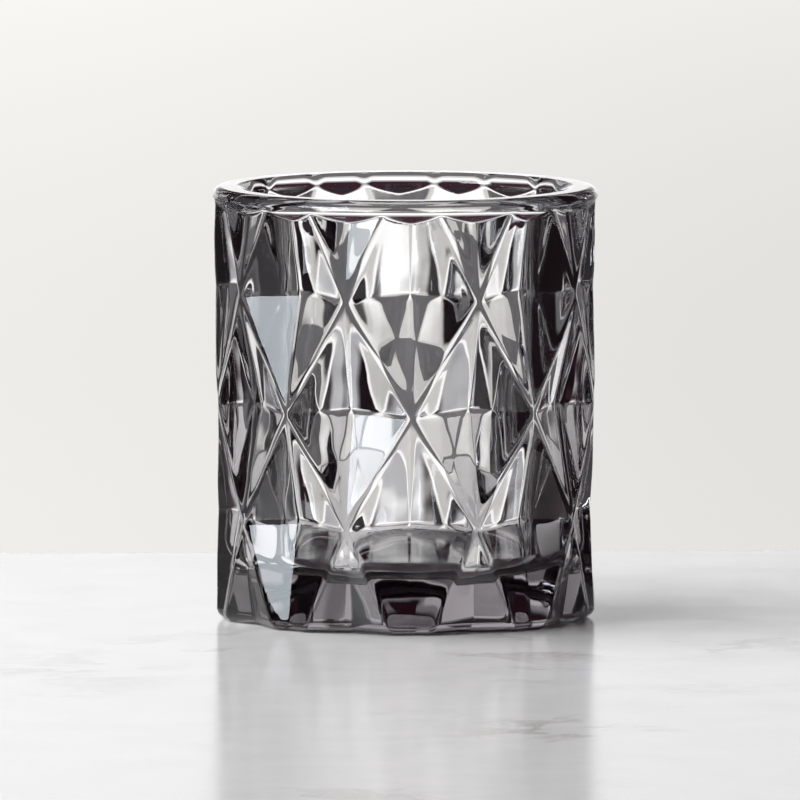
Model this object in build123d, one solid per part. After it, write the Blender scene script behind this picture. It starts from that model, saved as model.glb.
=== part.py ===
"""Whiskey tumbler of pressed glass, cut all round with recessed diamond facets.

Millimetres, +Z up. The origin is the centre of the base, on the plane that the
tumbler stands on. The tumbler is one piece of glass, so it is one node.
A crossing of the middle row of ridges faces -Y.
"""
import os
from math import cos, radians, sin

from build123d import *

# Overall size
HEIGHT = 94.4
RIM_RADIUS = 42.1  # the widest place, just below the top of the rim

# Rim: a slim bead outside, a narrow flat top and a rounded mouth
MOUTH_RADIUS = 34.6
RIM_OUTER_ROUND = 2.0
RIM_INNER_ROUND = 2.4
CREST_RADIUS = RIM_RADIUS - RIM_OUTER_ROUND  # outer edge of the flat top
LAND_RADIUS = MOUTH_RADIUS + RIM_INNER_ROUND  # inner edge of the flat top
BEAD_Z = HEIGHT - RIM_OUTER_ROUND  # height of the widest place
MOUTH_Z = HEIGHT - RIM_INNER_ROUND  # height where the inside wall begins

# Inside: a slightly tapered wall and a flat floor on a thick base
FLOOR_Z = 10.8
FLOOR_WALL_RADIUS = 33.3
FLOOR_FILLET = 4.5

# Underside: a shallow dome inside a flat ring that the tumbler stands on
DOME_RADIUS = 29.0
DOME_HEIGHT = 1.4
FOOT_ROUND = 2.4  # radius of the rounded bottom edge
FOOT_STEPS = 4

# Lattice of ridges. The lowest and highest rows of crossings lie outside the
# glass, where the base and the rim cut the diamonds short.
DIAMONDS_ROUND = 9
COLUMNS = 2 * DIAMONDS_ROUND
COLUMN_ANGLE = 360 / COLUMNS
ROW_HEIGHTS = [-8.7, 22.8, 47.4, 72.4, 105.4]
CROSSING_RADII = [42.3, 41.7, 42.05, 42.5, 42.35]  # where the flat facets would meet
BODY_RADII = [41.8, 41.4, 41.7, 41.95, 41.95]  # the round body that trims the crossings
VALLEY_RADIUS = 36.7  # the deepest point, in the middle of each diamond
VALLEY_LIFT = 1.0  # how far that point lies above its diamond's side corners


def at_radius(radius, angle, z):
    """Point at an angle in degrees from -Y, anticlockwise seen from above."""
    return Vector(radius * sin(radians(angle)), -radius * cos(radians(angle)), z)


def is_crossing(row, column):
    """Ridges cross at every other place of the lattice, and valleys lie between."""
    return (row + column) % 2 == 0


def lattice_point(row, column):
    """A ridge crossing, or the deepest point of a diamond."""
    angle = column * COLUMN_ANGLE
    if is_crossing(row, column):
        return at_radius(CROSSING_RADII[row], angle, ROW_HEIGHTS[row])
    inside_glass = 0 < row < len(ROW_HEIGHTS) - 1
    lift = VALLEY_LIFT if inside_glass else 0
    return at_radius(VALLEY_RADIUS, angle, ROW_HEIGHTS[row] + lift)


def polygon_face(points):
    return Face(Wire.make_polygon(points, close=True))


def facet_faces(row, column):
    """The two flat facets that meet in one ridge."""
    corners = [(row, column), (row, column + 1), (row + 1, column), (row + 1, column + 1)]
    ridge = [lattice_point(*c) for c in corners if is_crossing(*c)]
    valleys = [lattice_point(*c) for c in corners if not is_crossing(*c)]
    return [polygon_face([*ridge, valley]) for valley in valleys]


def round_body():
    """The turned shape that the facets are cut into, one cone for each row of diamonds."""
    side = zip(BODY_RADII, ROW_HEIGHTS)
    outline = Polyline((0, ROW_HEIGHTS[0]), *side, (0, ROW_HEIGHTS[-1]), close=True)
    return revolve(make_face(Plane.XZ * outline), Axis.Z)


def faceted_blank():
    """Closed solid inside the facets, running past the base and the rim."""
    last_row = len(ROW_HEIGHTS) - 1
    faces = []
    for row in (0, last_row):
        faces.append(polygon_face([lattice_point(row, column) for column in range(COLUMNS)]))
    for row in range(last_row):
        for column in range(COLUMNS):
            faces += facet_faces(row, column)
    return Solid(Shell(faces)) & round_body()


def rounded_foot(blank):
    """The lowest slice: the facets' outline drawn in step by step to the standing plane."""
    outline = section(blank, Plane.XY.offset(FOOT_ROUND))
    rings = []
    for step in range(FOOT_STEPS + 1):
        turn = radians(90 * step / FOOT_STEPS)
        growth = 1 - FOOT_ROUND * (1 - cos(turn)) / RIM_RADIUS
        ring = scale(outline, by=(growth, growth, 1))
        rings.append(Pos(0, 0, -FOOT_ROUND * sin(turn)) * ring.face())
    return loft(rings, ruled=True)


def turned_limit():
    """Limits in height for the facets: from the foot to the flat top of the rim."""
    outline = Polyline((0, HEIGHT), (0, FOOT_ROUND), (RIM_RADIUS, FOOT_ROUND), (RIM_RADIUS, BEAD_Z))
    outline += CenterArc((CREST_RADIUS, BEAD_Z), RIM_OUTER_ROUND, 0, 90)
    outline += Line((CREST_RADIUS, HEIGHT), (0, HEIGHT))
    return revolve(make_face(Plane.XZ * outline), Axis.Z)


def faceted_body():
    """The facets between the foot and the rim, closed below by the rounded foot."""
    blank = faceted_blank()
    return (blank & turned_limit()) + rounded_foot(blank)


def cavity():
    """The drinking space: flat floor, rounded corner, tapered wall and rounded mouth."""
    top = HEIGHT + 5
    outline = Polyline(
        (LAND_RADIUS, HEIGHT),
        (LAND_RADIUS, top),
        (0, top),
        (0, FLOOR_Z),
        (FLOOR_WALL_RADIUS, FLOOR_Z),
        (MOUTH_RADIUS, MOUTH_Z),
    )
    outline += CenterArc((LAND_RADIUS, MOUTH_Z), RIM_INNER_ROUND, 90, 90)
    space = revolve(make_face(Plane.XZ * outline), Axis.Z)
    floor_edge = space.edges().filter_by(GeomType.CIRCLE).sort_by(Axis.Z)[0]
    return fillet(floor_edge, FLOOR_FILLET)


def rim_bead():
    """Half-round ring that the facets run out against under the rim."""
    outline = CenterArc((CREST_RADIUS, BEAD_Z), RIM_OUTER_ROUND, -90, 180)
    outline += Line((CREST_RADIUS, HEIGHT), (CREST_RADIUS, BEAD_Z - RIM_OUTER_ROUND))
    return revolve(make_face(Plane.XZ * outline), Axis.Z)


def underside_dome():
    """Large ball that leaves a shallow hollow inside the standing ring."""
    curvature = (DOME_RADIUS**2 + DOME_HEIGHT**2) / (2 * DOME_HEIGHT)
    return Pos(0, 0, DOME_HEIGHT - curvature) * Sphere(curvature)


def tumbler_glass():
    """The whole tumbler in one piece of glass."""
    return faceted_body() - cavity() - underside_dome() + rim_bead()


os.makedirs("parts", exist_ok=True)
export_step(tumbler_glass(), "parts/tumbler_glass.step")
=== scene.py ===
"""Looks of the faceted whiskey tumbler: one clear piece of smoke-tinted pressed glass.

Metres in Blender. The glass shape is worked out in millimetres on a grid of lines that
follow the ridges, and scaled once when the mesh is made.
"""

from math import cos, pi, radians, sin

import bpy
import numpy as np
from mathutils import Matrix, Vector


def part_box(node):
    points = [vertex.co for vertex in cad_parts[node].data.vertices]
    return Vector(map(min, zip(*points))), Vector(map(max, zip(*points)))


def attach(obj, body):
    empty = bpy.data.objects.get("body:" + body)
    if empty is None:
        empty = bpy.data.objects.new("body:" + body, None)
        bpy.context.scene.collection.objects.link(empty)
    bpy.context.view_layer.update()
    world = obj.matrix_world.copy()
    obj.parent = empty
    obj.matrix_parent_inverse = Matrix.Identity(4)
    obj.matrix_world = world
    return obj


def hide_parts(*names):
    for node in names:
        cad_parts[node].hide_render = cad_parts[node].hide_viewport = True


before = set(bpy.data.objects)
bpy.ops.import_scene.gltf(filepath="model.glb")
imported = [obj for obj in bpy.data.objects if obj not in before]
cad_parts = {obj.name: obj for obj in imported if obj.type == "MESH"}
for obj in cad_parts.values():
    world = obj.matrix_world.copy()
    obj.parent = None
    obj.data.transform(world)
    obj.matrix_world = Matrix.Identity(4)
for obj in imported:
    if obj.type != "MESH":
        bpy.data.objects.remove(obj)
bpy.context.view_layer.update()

MM = 0.001
glass_low, glass_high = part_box("tumbler_glass")

# Overall size, from the glass part in model.glb, in millimetres
HEIGHT = (glass_high.z - glass_low.z) / MM
RIM_RADIUS = (glass_high.x - glass_low.x) / 2 / MM

# Rim, inside and underside
MOUTH_RADIUS = 34.6
RIM_OUTER_ROUND = 2.0
RIM_INNER_ROUND = 2.4
BEAD_Z = HEIGHT - RIM_OUTER_ROUND
MOUTH_Z = HEIGHT - RIM_INNER_ROUND
FLOOR_Z = 10.8
FLOOR_WALL_RADIUS = 33.3
FLOOR_FILLET = 4.5
DOME_RADIUS = 29.0
DOME_HEIGHT = 1.4
FOOT_ROUND = 2.4

# Lattice of ridges, as in the CAD: crossings and valleys take turns round each row
DIAMONDS_ROUND = 9
CELLS = 2 * DIAMONDS_ROUND
CELL_ANGLE = 2 * pi / CELLS
ROW_HEIGHTS = [-8.7, 22.8, 47.4, 72.4, 105.4]
CROSSING_RADII = [42.3, 41.7, 42.05, 42.5, 42.35]
BODY_RADII = [41.8, 41.4, 41.7, 41.95, 41.95]
VALLEY_RADIUS = 36.7
VALLEY_LIFT = 1.0
BANDS = len(ROW_HEIGHTS) - 1

# How softly the moulded edges run into each other, as a height across the edge
RIDGE_SOFTNESS = 0.75
VALLEY_SOFTNESS = 0.35
BODY_SOFTNESS = 0.3
NECK_Z = 87.4  # where the deepest facets begin to flare out to the rim bead
FLARE_DEPTH = 6.0  # how far inside the bead the flare is at that height
FLARE_CURVE = 1.5  # over 1: the flare hangs straight down from the bead, then leans in
FLARE_SOFTNESS = 0.6

# Unevenness of the moulded surfaces, about half the height of the waves
INSIDE_RIPPLE = 0.10
OUTSIDE_RIPPLE = 0.12

# Mesh density
CELL_STEPS = 24  # columns in a cell, and grid lines in a band
RIDGE_PULL = 0.55  # how strongly the grid lines draw together near a ridge
RIDGE_PULL_REACH = 0.14  # and how near, as a share of the band
ROUND_STEPS = 9  # in a quarter turn of the rim or of the floor's corner
FOOT_STEPS = 8
DOME_STEPS = 8
NECK_STEPS = 19
NECK_START = NECK_Z - 0.3  # the level lines of the neck start here
LINE_GAP = 0.15  # least height between a level line and the facets' own lines
WALL_STEPS = 35
FLOOR_STEPS = 6

# Glass and marble
GLASS_IOR = 1.51
GLASS_TINT = (0.21, 0.165, 0.195, 1.0)
TINT_DENSITY = 25.0
MARBLE_WHITE = (0.83, 0.82, 0.80, 1.0)
MARBLE_VEIN = (0.45, 0.42, 0.38, 1.0)
TABLE_EDGES = (-0.093, 0.099, -0.65, 0.134)  # left, right, front and back
TABLE_THICKNESS = 0.03

# The studio. A panel's reach is (centre, half its size) across and up, in degrees.
ROOM = (0.011, 0.007, 0.009)
PANELS = [
    ((0, 24), (-1.5, 6), 3, (1.0, 0.99, 0.95), 0.73),  # the pale wall behind
    ((-22, 22), (-1.5, 6), 4, (1.0, 1.0, 0.98), 0.10),  # it is lighter on the left
    ((-4, 20), (4, 4), 5.5, (0.97, 0.98, 1.0), 0.66),  # and higher up
    ((-60, 16), (0, 20), 16, (0.95, 0.97, 1.0), 0.05),  # the side of the room at the left
    ((0, 36), (-50, 38), 8, (0.97, 0.98, 1.0), 0.18),  # the floor behind the table
    ((0, 36), (22, 8), 5, (1.0, 0.32, 0.5), 0.04),  # something wine red above the wall
    ((0, 180), (76, 24), 12, (1.0, 0.8, 0.9), 0.03),  # the ceiling
]

BACKDROP = (0.70, 0.69, 0.665)  # a wall all round, seen past the glass but not in it

# Two lamps, as power, width, height, colour and place. The softbox at the front left
# shows only in glass and gloss, and the one overhead only lights the table.
SOFTBOX = (38.0, 1.35, 0.9, (0.85, 0.93, 1.0), Vector((-2.40, -1.62, 0.83)))
OVERHEAD = (44.0, 1.8, 1.8, (0.96, 0.97, 1.0), Vector((-0.95, -0.15, 0.7)))

# Camera: a long lens, in front and a little above, aimed near the tumbler's middle
LENS = 741.6
CAMERA_DISTANCE = 3.6
CAMERA_SIDE = -1.9  # degrees round towards +X
CAMERA_RISE = 5.5  # degrees up
AIM_Z = 47.4  # millimetres
AIM_ACROSS = -1.136  # millimetres to the right


def smooth_max(a, b, softness):
    near = np.clip(1 - np.abs(a - b) / softness, 0, 1)
    return np.maximum(a, b) + near * near * softness / 4


def smooth_min(a, b, softness):
    return -smooth_max(-a, -b, softness)


def smooth_step(low, high, value):
    t = np.clip((value - low) / (high - low), 0, 1)
    return t * t * (3 - 2 * t)


def eased(count):
    """Places from 0 to 1, close together at both ends."""
    return (1 - np.cos(np.linspace(0, pi, count + 1))) / 2


# ---------------------------------------------------------------- shape of the facets


def polar(radius, angle, z):
    return np.array([radius * cos(angle), radius * sin(angle), z])


def facet_plane(row, neighbour):
    """Plane of one facet, through its diamond's deepest point, side corner and tip.
    The diamond is centred on angle 0. Returns the plane's normal and its offset."""
    lift = VALLEY_LIFT if 0 < row < BANDS else 0
    deepest = polar(VALLEY_RADIUS, 0, ROW_HEIGHTS[row] + lift)
    side = polar(CROSSING_RADII[row], CELL_ANGLE, ROW_HEIGHTS[row])
    tip = polar(CROSSING_RADII[neighbour], 0, ROW_HEIGHTS[neighbour])
    normal = np.cross(side - deepest, tip - deepest)
    return normal, normal @ deepest


def plane_radius(plane, angle, z):
    """Distance from the axis to the plane, in the direction of angle, at height z."""
    normal, offset = plane
    return (offset - normal[2] * z) / (normal[0] * np.cos(angle) + normal[1] * np.sin(angle))


def diamond_radius(row, angle, z):
    """One diamond's hollow, an upside-down pyramid, out to well past its own edges."""
    sides = []
    for neighbour in (row - 1, row + 1):
        if 0 <= neighbour <= BANDS:
            plane = facet_plane(row, neighbour)
            right = plane_radius(plane, angle, z)
            left = plane_radius(plane, -angle, z)
            sides.append(smooth_max(right, left, VALLEY_SOFTNESS))
    if len(sides) == 1:
        return sides[0]
    return smooth_max(sides[0], sides[1], VALLEY_SOFTNESS)


def facet_radius(angle, z):
    """Outside of the faceted body: ridges are where neighbouring diamonds meet."""
    radius = np.interp(z, ROW_HEIGHTS, BODY_RADII)
    softness = BODY_SOFTNESS
    for row in range(BANDS + 1):
        centre = CELL_ANGLE * ((row + 1) % 2)
        pitch = 2 * CELL_ANGLE
        local = (angle - centre + CELL_ANGLE) % pitch - CELL_ANGLE
        radius = smooth_min(radius, diamond_radius(row, local, z), softness)
        softness = RIDGE_SOFTNESS
    return radius


def ripple(angle, z, depth):
    """Slow unevenness that moulded glass keeps where the mould chilled it."""
    slow = np.sin(4 * angle + 0.23 * z) + np.sin(7 * angle - 0.17 * z + 1.3)
    quick = np.sin(13 * angle + 0.41 * z + 0.7) * np.sin(0.29 * z + 2.1)
    return depth * (slow + 0.7 * quick) / 2


def outside_radius(angle, z):
    """The faceted body, scalloped at the top where a flare cuts off its hollows."""
    fade = smooth_step(BEAD_Z, NECK_Z, z)
    facets = facet_radius(angle, z) + ripple(angle + 2, z, OUTSIDE_RIPPLE) * fade
    below_bead = np.clip((BEAD_Z - z) / (BEAD_Z - NECK_Z), 0, None)
    flare = RIM_RADIUS - FLARE_DEPTH * below_bead ** FLARE_CURVE
    return np.minimum(smooth_max(facets, flare, FLARE_SOFTNESS), RIM_RADIUS)


# ---------------------------------------------------------------- the mesh, line by line


def cell_places():
    """Places across a cell, from one crossing to the next, along the straight ridge.
    The same places serve as heights in a band, so grid diagonals follow the ridges."""
    even = np.linspace(0, 1, CELL_STEPS + 1)
    return (even + eased(CELL_STEPS)) / 2


PLACES = cell_places()
COLUMNS = CELLS * (len(PLACES) - 1)


def column_angles():
    """Angle of every column: the points of a straight ridge, seen from the axis."""
    places = PLACES[:-1]
    across = np.arctan2(places * sin(CELL_ANGLE), 1 - places + places * cos(CELL_ANGLE))
    return np.concatenate([across + CELL_ANGLE * cell for cell in range(CELLS)])


ANGLES = column_angles()
CELL_OF = np.repeat(np.arange(CELLS), len(PLACES) - 1)
PLACE_OF = np.tile(PLACES[:-1], CELLS)

# Directions at every column, as unit vectors
OUTWARD = np.stack([np.sin(ANGLES), -np.cos(ANGLES), np.zeros(COLUMNS)], axis=1)
ONWARD = np.stack([np.cos(ANGLES), np.sin(ANGLES), np.zeros(COLUMNS)], axis=1)
UPWARD = np.array([0, 0, 1])


def per_column(value):
    return np.broadcast_to(value, COLUMNS)[:, None]


def ridge_place(band):
    """Height of the ridge within a band at every column, from 0 to 1."""
    rising = (band + CELL_OF) % 2 == 0
    return np.where(rising, PLACE_OF, 1 - PLACE_OF)


def band_line(band, place):
    """Heights of one grid line in a band. Lines draw together near the ridges, and the
    first and last follow the level valleys."""
    ridge = ridge_place(band)
    away = place - ridge
    inner = 16 * place * (1 - place) * ridge * (1 - ridge)
    pull = RIDGE_PULL * np.exp(-(away / RIDGE_PULL_REACH) ** 2) * inner
    place = place - away * np.clip(pull, 0, RIDGE_PULL)
    low, high = ROW_HEIGHTS[band], ROW_HEIGHTS[band + 1]
    low_lift = VALLEY_LIFT * (band > 0) * ridge * (1 - place) ** 3
    high_lift = VALLEY_LIFT * (band + 1 < BANDS) * (1 - ridge) * place ** 3
    return low + (high - low) * place + low_lift + high_lift


def grid_line(radius, z, out, along, up):
    """One grid line right round: its points, and its normals from their parts outward,
    along the circle and upward. Each may be one number or an array with one per column."""
    points = OUTWARD * per_column(radius) + UPWARD * per_column(z)
    normals = OUTWARD * per_column(out) + ONWARD * per_column(along) + UPWARD * per_column(up)
    return points, normals / np.linalg.norm(normals, axis=1)[:, None]


def slopes(radius_at, z):
    """How fast a radius grows at every column, per radian round and per millimetre up."""
    turn, step = 0.0005, 0.02
    around = (radius_at(ANGLES + turn, z) - radius_at(ANGLES - turn, z)) / (2 * turn)
    rise = (radius_at(ANGLES, z + step) - radius_at(ANGLES, z - step)) / (2 * step)
    return around, rise


def outside_line(z):
    """A grid line on the faceted outside, with the direction that the surface faces."""
    radius = outside_radius(ANGLES, z)
    around, rise = slopes(outside_radius, z)
    return grid_line(radius, z, 1, -around / radius, -rise)


def underside_lines():
    """The shallow dome under the base, from its centre out to the resting ring."""
    dome_curve = (DOME_RADIUS ** 2 + DOME_HEIGHT ** 2) / (2 * DOME_HEIGHT)
    for radius in np.linspace(0, DOME_RADIUS, DOME_STEPS + 1)[1:]:
        drop = dome_curve - np.sqrt(dome_curve ** 2 - radius ** 2)
        yield grid_line(radius, DOME_HEIGHT - drop, -radius / dome_curve, 0, -1)


def foot_lines():
    """The rounded edge at the foot, from the resting ring up to the facets."""
    for turn in np.radians(np.linspace(90, 0, FOOT_STEPS + 1)):
        z = FOOT_ROUND * (1 - sin(turn))
        points, normals = outside_line(np.full(COLUMNS, z))
        inward = points * [1, 1, 0] / np.linalg.norm(points[:, :2], axis=1)[:, None]
        points = points - inward * FOOT_ROUND * (1 - cos(turn))
        normals = normals * cos(turn) - UPWARD * sin(turn)
        yield points, normals / np.linalg.norm(normals, axis=1)[:, None]


def neck_lines():
    """Where the facets run out under the rim."""
    for z in np.linspace(NECK_START, BEAD_Z, NECK_STEPS + 1)[:-1]:
        yield outside_line(np.full(COLUMNS, z))


def rim_lines():
    """The rounded rim, from the outer bead over the crest to the mouth."""
    for turn in np.radians(np.linspace(0, 90, ROUND_STEPS + 1)):
        radius = RIM_RADIUS - RIM_OUTER_ROUND * (1 - cos(turn))
        yield grid_line(radius, BEAD_Z + RIM_OUTER_ROUND * sin(turn), cos(turn), 0, sin(turn))
    for turn in np.radians(np.linspace(90, 180, ROUND_STEPS + 1)):
        radius = MOUTH_RADIUS + RIM_INNER_ROUND * (1 + cos(turn))
        yield grid_line(radius, MOUTH_Z + RIM_INNER_ROUND * sin(turn), cos(turn), 0, sin(turn))


def inside_radius(angle, z):
    """The slightly tapered inner wall, with its ripples fading out at both ends."""
    share = (z - FLOOR_Z) / (MOUTH_Z - FLOOR_Z)
    wall = FLOOR_WALL_RADIUS + (MOUTH_RADIUS - FLOOR_WALL_RADIUS) * share
    fade = smooth_step(FLOOR_Z + FLOOR_FILLET, 32, z) * smooth_step(MOUTH_Z, 80, z)
    return wall + ripple(angle, z, INSIDE_RIPPLE) * fade


def inside_lines():
    """The inside wall down, the rounded corner and the floor in to its centre."""
    corner_z = FLOOR_Z + FLOOR_FILLET
    for z in np.linspace(MOUTH_Z, corner_z, WALL_STEPS + 1)[1:]:
        radius = inside_radius(ANGLES, z)
        around, rise = slopes(inside_radius, z)
        yield grid_line(radius, z, -1, around / radius, rise)
    centre = float(inside_radius(0, corner_z)) - FLOOR_FILLET
    for turn in np.radians(np.linspace(0, 90, ROUND_STEPS + 1)[1:]):
        radius = centre + FLOOR_FILLET * cos(turn)
        yield grid_line(radius, corner_z - FLOOR_FILLET * sin(turn), -cos(turn), 0, sin(turn))
    for radius in np.linspace(centre, 0, FLOOR_STEPS + 1)[1:-1]:
        yield grid_line(radius, FLOOR_Z, 0, 0, 1)


def body_lines(band):
    for place in PLACES[:-1]:
        z = band_line(band, place)
        if z.min() > FOOT_ROUND + LINE_GAP and z.max() < NECK_START - LINE_GAP:
            yield outside_line(z)


def all_lines():
    """Every grid line from the middle of the underside, up, over the rim and in to the
    middle of the floor, each with the band of the lattice that it lies in."""
    lines = [(0, line) for line in [*underside_lines(), *foot_lines()]]
    for band in range(BANDS):
        lines += [(band, line) for line in body_lines(band)]
    last = [*neck_lines(), *rim_lines(), *inside_lines()]
    return lines + [(BANDS - 1, line) for line in last]


def strip_faces(index, band):
    """Triangles between two grid lines, split along the ridges."""
    columns = np.arange(COLUMNS)
    onward = (columns + 1) % COLUMNS
    a, b = index * COLUMNS + columns, index * COLUMNS + onward
    d, c = a + COLUMNS, b + COLUMNS
    rising = ((band + CELL_OF) % 2 == 0)[:, None]
    first = np.where(rising, np.stack([a, b, c], 1), np.stack([a, b, d], 1))
    second = np.where(rising, np.stack([a, c, d], 1), np.stack([b, c, d], 1))
    return np.concatenate([first, second])


def glass_mesh():
    lines = all_lines()
    points = np.concatenate([line[0] for _, line in lines])
    normals = np.concatenate([line[1] for _, line in lines])
    faces = [strip_faces(index, lines[index][0]) for index in range(len(lines) - 1)]
    under, floor = len(points), len(points) + 1
    points = np.vstack([points, [0, 0, DOME_HEIGHT], [0, 0, FLOOR_Z]])
    normals = np.vstack([normals, [0, 0, -1], [0, 0, 1]])
    columns = np.arange(COLUMNS)
    onward = (columns + 1) % COLUMNS
    last = (len(lines) - 1) * COLUMNS
    faces.append(np.stack([np.full(COLUMNS, under), onward, columns], 1))
    faces.append(np.stack([last + columns, last + onward, np.full(COLUMNS, floor)], 1))
    mesh = bpy.data.meshes.new("tumbler_glass_body")
    mesh.from_pydata((points * MM).tolist(), [], np.concatenate(faces).tolist())
    mesh.shade_smooth()
    mesh.normals_split_custom_set_from_vertices(normals.tolist())
    mesh.validate()
    return mesh


# ---------------------------------------------------------------- materials


def add(tree, kind, settings=None, **values):
    """A shader node with its settings, and its sockets by name: a number, or a link."""
    made = tree.nodes.new("ShaderNode" + kind)
    for name, value in (settings or {}).items():
        setattr(made, name, value)
    for name, value in values.items():
        by_number = name[1:].isdigit()
        socket = made.inputs[int(name[1:]) if by_number else name.replace("_", " ")]
        if isinstance(value, bpy.types.NodeSocket):
            tree.links.new(value, socket)
        else:
            socket.default_value = value
    return made


def math(tree, operation, a, b=0.0):
    return add(tree, "Math", {"operation": operation}, _0=a, _1=b).outputs[0]


def vector_math(tree, operation, *values):
    sockets = {f"_{index}": value for index, value in enumerate(values)}
    return add(tree, "VectorMath", {"operation": operation}, **sockets).outputs[0]


def empty_tree(owner):
    owner.use_nodes = True
    owner.node_tree.nodes.clear()
    return owner.node_tree


def smoked_glass():
    """Clear polished glass, tinted through its depth with a grey plum smoke."""
    material = bpy.data.materials.new("smoked_glass_look")
    tree = empty_tree(material)
    place = add(tree, "TexCoord").outputs["Object"]
    swirl = add(tree, "TexNoise", Vector=place, Scale=130, Detail=1.5)
    bump = add(tree, "Bump", Strength=0.25, Distance=0.00004, Height=swirl.outputs["Fac"])
    surface = add(
        tree,
        "BsdfPrincipled",
        Base_Color=(1, 1, 1, 1),
        Roughness=0.0,
        IOR=GLASS_IOR,
        Transmission_Weight=1.0,
        Normal=bump.outputs[0],
    )
    tint = add(tree, "VolumeAbsorption", Color=GLASS_TINT, Density=TINT_DENSITY)
    add(tree, "OutputMaterial", Surface=surface.outputs[0], Volume=tint.outputs[0])
    return material


def white_marble():
    """Polished white marble with faint warm grey veins."""
    material = bpy.data.materials.new("white_marble")
    tree = empty_tree(material)
    place = add(tree, "TexCoord").outputs["Object"]
    drift = add(tree, "TexNoise", Vector=place, Scale=7, Detail=5, Roughness=0.6)
    bent = vector_math(tree, "MULTIPLY_ADD", drift.outputs["Color"], (0.25, 0.25, 0.25), place)
    cracks = add(tree, "TexNoise", Vector=bent, Scale=5, Detail=9, Roughness=0.62)
    edge = math(tree, "ABSOLUTE", math(tree, "SUBTRACT", cracks.outputs["Fac"], 0.52))
    vein = add(tree, "MapRange", {"interpolation_type": "SMOOTHSTEP"}, Value=edge,
               From_Min=0.0, From_Max=0.035, To_Min=1.0, To_Max=0.0)
    patch = add(tree, "TexNoise", Vector=place, Scale=9, Detail=2)
    where = add(tree, "MapRange", {"interpolation_type": "SMOOTHSTEP"}, Value=patch.outputs["Fac"],
                From_Min=0.42, From_Max=0.72, To_Min=0.0, To_Max=0.75)
    amount = math(tree, "MULTIPLY", vein.outputs[0], where.outputs[0])
    colour = add(tree, "Mix", {"data_type": "RGBA"}, _0=amount, _6=MARBLE_WHITE, _7=MARBLE_VEIN)
    grain = add(tree, "TexNoise", Vector=place, Scale=60, Detail=6)
    rough = add(tree, "MapRange", Value=grain.outputs["Fac"], To_Min=0.13, To_Max=0.24)
    surface = add(
        tree,
        "BsdfPrincipled",
        Base_Color=colour.outputs[2],
        Roughness=rough.outputs[0],
        IOR=1.5,
    )
    add(tree, "OutputMaterial", Surface=surface.outputs[0])
    return material


# ---------------------------------------------------------------- table, light and camera


def table_slab():
    """The marble top: a slab with softened edges, its surface where the tumbler rests."""
    mesh = bpy.data.meshes.new("table_top")
    left, right, front, back = TABLE_EDGES
    low, high = -TABLE_THICKNESS, 0
    corners = [(x, y, z) for z in (low, high) for x, y in
               ((left, front), (right, front), (right, back), (left, back))]
    sides = [(3, 2, 1, 0), (4, 5, 6, 7), (0, 1, 5, 4), (1, 2, 6, 5), (2, 3, 7, 6), (3, 0, 4, 7)]
    mesh.from_pydata(corners, [], sides)
    mesh.materials.append(white_marble())
    slab = bpy.data.objects.new("table_top", mesh)
    bpy.context.scene.collection.objects.link(slab)
    soften = slab.modifiers.new("soft edges", "BEVEL")
    soften.width = 0.0015
    soften.segments = 3


def window(tree, value, centre, reach, softness):
    """1 within reach of centre, falling smoothly to 0 over the softness beyond it."""
    away = math(tree, "ABSOLUTE", math(tree, "SUBTRACT", value, radians(centre)))
    fall = add(tree, "MapRange", {"interpolation_type": "SMOOTHSTEP"}, Value=away,
               From_Min=radians(reach), From_Max=radians(reach + softness), To_Min=1.0, To_Max=0.0)
    return fall.outputs[0]


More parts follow.
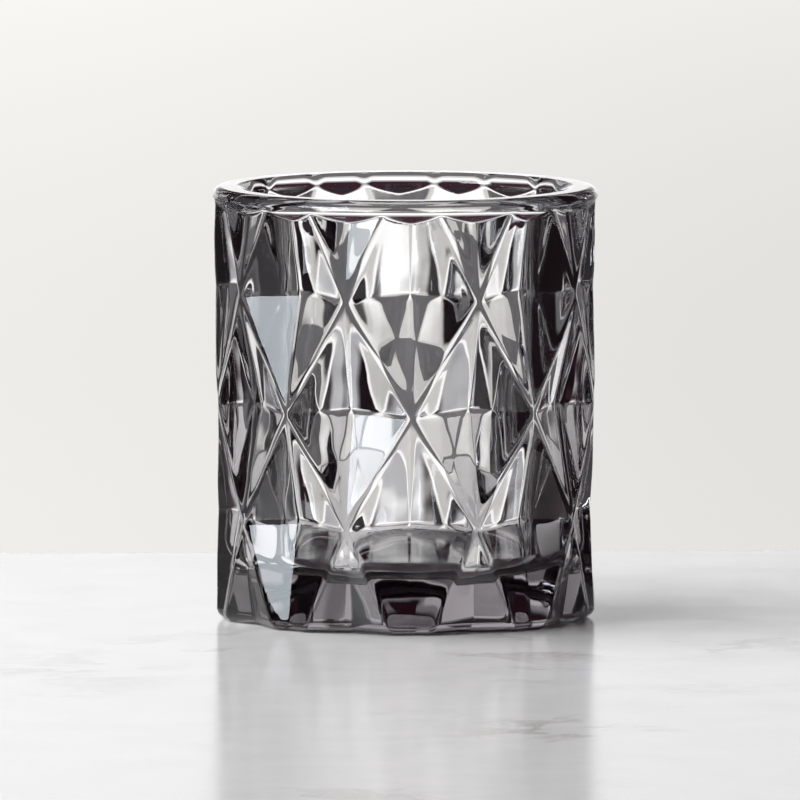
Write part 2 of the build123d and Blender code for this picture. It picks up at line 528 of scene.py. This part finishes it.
def studio():
    """Light from all round by direction: azimuth 0 is behind the tumbler, along +Y, and
    goes towards +X. Each panel is added to the dim room. A view from any side has the
    pale backdrop round the glass, which still refracts the dim room."""
    world = bpy.data.worlds.new("studio")
    bpy.context.scene.world = world
    tree = empty_tree(world)
    direction = add(tree, "TexCoord").outputs["Generated"]
    axes = add(tree, "SeparateXYZ", Vector=direction).outputs
    azimuth = math(tree, "ARCTAN2", axes[0], axes[1])
    elevation = math(tree, "ARCSINE", axes[2])
    light = add(tree, "CombineColor", Red=ROOM[0], Green=ROOM[1], Blue=ROOM[2]).outputs[0]
    for across, up, softness, colour, strength in PANELS:
        mask = math(tree, "MULTIPLY", window(tree, azimuth, across[0], across[1], softness),
                    window(tree, elevation, up[0], up[1], softness))
        panel = [part * strength for part in colour]
        light = vector_math(tree, "MULTIPLY_ADD", mask, panel, light)
    seen = add(tree, "LightPath").outputs["Is Camera Ray"]
    light = vector_math(tree, "MAXIMUM", light, vector_math(tree, "MULTIPLY", seen, BACKDROP))
    back = add(tree, "Background", Color=light, Strength=1.0)
    add(tree, "OutputWorld", Surface=back.outputs[0])


def lamp(name, power, width, height, colour, place):
    """A soft rectangular lamp, aimed at the tumbler and out of the camera's sight."""
    light = bpy.data.lights.new(name, "AREA")
    light.shape = "RECTANGLE"
    light.energy = power
    light.size = width
    light.size_y = height
    light.color = colour
    made = bpy.data.objects.new(name, light)
    bpy.context.scene.collection.objects.link(made)
    made.location = place
    made.rotation_euler = place.to_track_quat("Z", "Y").to_euler()
    made.visible_camera = False
    return made


def lamps():
    softbox = lamp("softbox", *SOFTBOX)
    softbox.visible_diffuse = False
    overhead = lamp("overhead", *OVERHEAD)
    overhead.visible_glossy = False
    overhead.visible_transmission = False


def camera():
    made = bpy.data.objects.new("camera", bpy.data.cameras.new("camera"))
    bpy.context.scene.collection.objects.link(made)
    made.data.lens = LENS
    made.data.clip_end = 20
    side, rise = radians(CAMERA_SIDE), radians(CAMERA_RISE)
    away = Vector((sin(side) * cos(rise), -cos(side) * cos(rise), sin(rise)))
    to_right = Vector((cos(side), sin(side), 0))
    target = Vector((0, 0, AIM_Z * MM)) + to_right * AIM_ACROSS * MM
    made.location = target + away * CAMERA_DISTANCE
    made.rotation_euler = (-away).to_track_quat("-Z", "Y").to_euler()
    bpy.context.scene.camera = made


def render_settings():
    scene = bpy.context.scene
    scene.view_settings.view_transform = "Standard"
    scene.cycles.max_bounces = 40
    scene.cycles.transmission_bounces = 36
    scene.cycles.glossy_bounces = 24
    scene.cycles.diffuse_bounces = 4
    scene.cycles.sample_clamp_indirect = 6
    scene.cycles.blur_glossy = 0.0
    scene.cycles.use_denoising = True


# ---------------------------------------------------------------- assembly


def tumbler():
    glass = bpy.data.objects.new("tumbler_glass_body", glass_mesh())
    bpy.context.scene.collection.objects.link(glass)
    glass.data.materials.append(smoked_glass())
    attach(glass, "root")
    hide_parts("tumbler_glass")


tumbler()
table_slab()
studio()
lamps()
camera()
render_settings()
